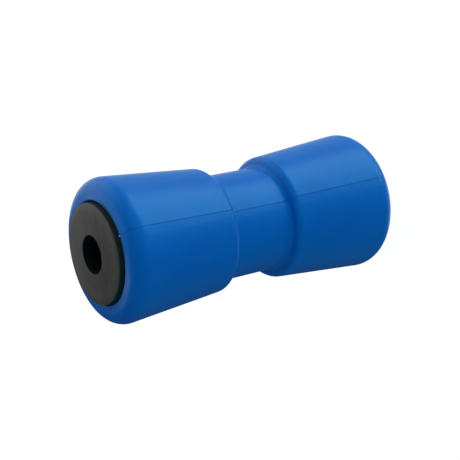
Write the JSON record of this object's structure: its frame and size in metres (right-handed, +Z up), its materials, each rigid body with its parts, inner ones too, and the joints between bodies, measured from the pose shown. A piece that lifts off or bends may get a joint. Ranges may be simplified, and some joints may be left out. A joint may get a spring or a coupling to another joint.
{
  "type": "boat trailer roller",
  "caption": "Waisted keel roller for a boat trailer: a blue soft plastic body with tapered ends, turning on a shaft in hard black flanged bushes.",
  "frame": {"origin": "middle of the lower bush's outer flange face, on the roller's axis, which is also the middle of the underside of its box", "axes": "+Z up the roller's axis to the other flange; +X to the mould's parting line, which runs along both sides of the body in the XZ plane"},
  "size_m": [0.0876, 0.0876, 0.2],
  "materials": {
    "blue_plastic": "satin moulded soft plastic",
    "black_plastic": "dull moulded hard plastic"
  },
  "bodies": {
    "root": {"roller_body": "blue_plastic", "bush_lower": "black_plastic", "bush_upper": "black_plastic"}
  },
  "joints": []
}
